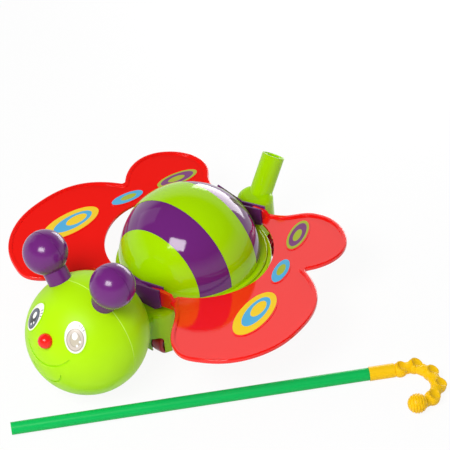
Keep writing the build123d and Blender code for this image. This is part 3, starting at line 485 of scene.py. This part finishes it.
# %% Finishes on the nodes
finishes = {
    "base_shell": lime, "bottom_cover": lime, "dome_shell": lime, "neck_ring": lime,
    "socket_collar": lime, "socket_tube": lime, "socket_sleeve": lime,
    "head_front": head_lime, "head_rear": head_lime, "nose": nose_red,
    "band_front": purple, "band_rear": purple, "bracket_front": purple, "bracket_rear": purple,
    "lifter": purple, "crank_axle": steel, "rear_axle": steel,
    "head_screws": steel, "dome_screws": steel, "cover_screws": steel, "bracket_screws": steel,
    "stick_tube": green, "stick_grip": yellow,
}
for side, side_sign in (("right", 1), ("left", -1)):
    finishes["wing_" + side] = red
    finishes["eye_" + side] = printed_eye(side, side_sign)
    for end in ("front", "rear"):
        finishes["feeler_" + end + "_" + side] = feeler_purple
        finishes["hinge_pin_" + end + "_" + side] = purple
        finishes["wheel_" + end + "_" + side] = wheel_red
    for kind in spot_rings:
        finishes["spot_" + kind + "_" + side] = printed_spot(kind, side, side_sign)

for name, node in nodes.items():
    node.data.materials.clear()
    node.data.materials.append(finishes[name])
print("nodes dressed:", len(nodes))

# %% [markdown]
# The toy stands on a white sweep. More light would make a floor white, but it would bleach the toy too.
# So to the camera, in reflections and through clear things the floor is mostly plain white by itself. The
# rest of it is an ordinary white surface, and the toy's soft shadow still lies on it.

# %% Floor
floor_half = 6.0
floor_white = (0.92, 0.92, 0.92)
floor_glow = 0.93
floor_roughness = 0.8
cloud_size = 0.3
cloud_shade = 0.99
cloud_roughness = 0.1


def seen_directly(paint):
    """1 for rays from the camera, from a glossy surface or through glass."""
    names = ("Is Camera Ray", "Is Glossy Ray", "Is Transmission Ray")
    camera_ray, glossy_ray, clear_ray = [paint.node("ShaderNodeLightPath", {}, {}, name) for name in names]
    return camera_ray.at_least(glossy_ray).at_least(clear_ray)


def white_floor():
    """A large plane under the toy."""
    corners = [(x * floor_half, y * floor_half, 0.0) for x, y in ((-1, -1), (1, -1), (1, 1), (-1, 1))]
    mesh = bpy.data.meshes.new("floor")
    mesh.from_pydata(corners, [], [(0, 1, 2, 3)])
    floor = bpy.data.objects.new("floor", mesh)
    bpy.context.scene.collection.objects.link(floor)
    paint = Paint("white_sweep")
    cloud = paint.noise(cloud_size, few_octaves)
    paint.feed("Base Color", paint.blend(cloud, shade(floor_white, cloud_shade), shade(floor_white)))
    paint.feed("Roughness", cloud * cloud_roughness + floor_roughness)
    glow = paint.node("ShaderNodeEmission", {}, {"Color": white, "Strength": 1.0})
    own = Signal(paint, paint.shader.outputs[0])
    mixed = paint.node("ShaderNodeMixShader", {}, {0: seen_directly(paint) * floor_glow, 1: own, 2: glow})
    paint.fill(paint.tree.nodes["Material Output"].inputs["Surface"], mixed)
    mesh.materials.append(paint.material)
    return floor


white_floor()
print("floor is", 2 * floor_half, "m across")

# %% [markdown]
# The surround is a white sweep that stands higher behind the toy than in front of it, with a dim room over
# it. The camera and every reflection see it so, and the gloss stays clear of haze. As a source of light it
# is even and dim, so the colours don't wash out. A picture of a studio could surround the toy instead, but
# a few sums on the direction of a ray give the same and can be tuned one by one.

# %% World
ambient = 0.34
room_level = 0.04
sweep_top_front = 0.10
sweep_top_back = 0.52
sweep_fade = 0.3
sweep_away = (-0.45, 0.89, 0.0)

# How nearly a direction points away from the camera where the sweep starts to rise, and where it is highest
rise_start = 0.45
rise_end = 0.85


class WorldPaint(Paint):
    """The same means for the world's background."""

    def __init__(self, world):
        self.take(world.node_tree, "Background")
        self.set(Color=white)


def white_world():
    """A white sweep under a dim room, which lights the toy gently."""
    world = bpy.data.worlds.new("white_world")
    bpy.context.scene.world = world
    world.use_nodes = True
    paint = WorldPaint(world)
    way = paint.node("ShaderNodeTexCoord", {}, {}, "Generated")
    height = paint.part(way, "Z")
    backwards = paint.along(way, sweep_away)
    behind = ((backwards - rise_start) / (rise_end - rise_start)).clamped()
    top = behind * (sweep_top_back - sweep_top_front) + sweep_top_front
    sweep = (1.0 - (height - top) / sweep_fade).clamped()
    surround = sweep * (1.0 - room_level) + room_level
    seen = seen_directly(paint)
    paint.feed("Strength", seen * surround + (1.0 - seen) * ambient)
    return world


world = white_world()
print("world:", world.name)

# %% [markdown]
# Soft boxes give the gloss its shape: a window in front of and above the toy, a low screen behind it and a
# weak box towards -X. A point lamp would leave hard dots. A box leaves the broad patches of a studio. Each
# stands in the direction that its highlight on the round back asks for.

# %% Lamps
def soft_box(name, towards, distance, width, height, power):
    """An area lamp that looks at the toy's back from a direction."""
    low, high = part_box("dome_shell")
    aim = (Vector(low) + Vector(high)) / 2
    lamp = bpy.data.lights.new(name, "AREA")
    lamp.shape = "RECTANGLE"
    lamp.size = width
    lamp.size_y = height
    lamp.energy = power
    box = bpy.data.objects.new(name, lamp)
    bpy.context.scene.collection.objects.link(box)
    box.location = aim + Vector(towards).normalized() * distance
    box.rotation_euler = (aim - box.location).to_track_quat("-Z", "Y").to_matrix().to_euler()
    return box


lamps = [
    soft_box("window", (0.18, -0.64, 0.74), distance=1.5, width=0.70, height=0.46, power=16.5),
    soft_box("back_screen", (-0.27, 0.95, 0.08), distance=0.62, width=0.48, height=0.28, power=2.2),
    soft_box("side_box", (-0.92, -0.10, 0.45), distance=1.7, width=0.7, height=1.0, power=1.4),
]
print("lamps:", ", ".join(lamp.name for lamp in lamps))

# %% [markdown]
# The camera stands far off with a long lens, in front of the toy and towards +X, as product pictures are
# taken: from there the near and the far wing keep nearly the same scale. Its aim is measured from the
# middle of the round back. The lens is shifted a little, as in a cropped picture.

# %% Camera
camera_azimuth = 44.159
camera_elevation = 39.235
camera_roll = -5.809
camera_distance = 2.5998
camera_lens = 220.0
camera_sensor = 36.0
camera_shift = (0.0545, 0.0559)
camera_clip = 50.0
back_radius = 0.0666
aim_behind_middle = 0.0149
aim_height = 0.0512


def photo_camera():
    """The camera at the photograph's angle."""
    low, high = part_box("band_front")
    middle_x = (low[0] + high[0]) / 2
    middle_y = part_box("dome_shell")[0][1] + back_radius
    aim = Vector((middle_x, middle_y + aim_behind_middle, aim_height))
    azimuth = math.radians(camera_azimuth)
    elevation = math.radians(camera_elevation)
    level = math.cos(elevation)
    away = Vector((level * math.sin(azimuth), -level * math.cos(azimuth), math.sin(elevation)))
    data = bpy.data.cameras.new("photo_camera")
    data.lens = camera_lens
    data.sensor_width = camera_sensor
    data.shift_x, data.shift_y = camera_shift
    data.clip_end = camera_clip
    camera = bpy.data.objects.new("photo_camera", data)
    bpy.context.scene.collection.objects.link(camera)
    turn = (-away).to_track_quat("-Z", "Y").to_matrix().to_4x4()
    roll = Matrix.Rotation(math.radians(camera_roll), 4, "Z")
    camera.matrix_world = Matrix.Translation(aim + away * camera_distance) @ turn @ roll
    bpy.context.scene.camera = camera
    return camera


camera = photo_camera()
bpy.context.scene.view_settings.view_transform = "Standard"
print("camera at", tuple(round(part, 3) for part in camera.location))
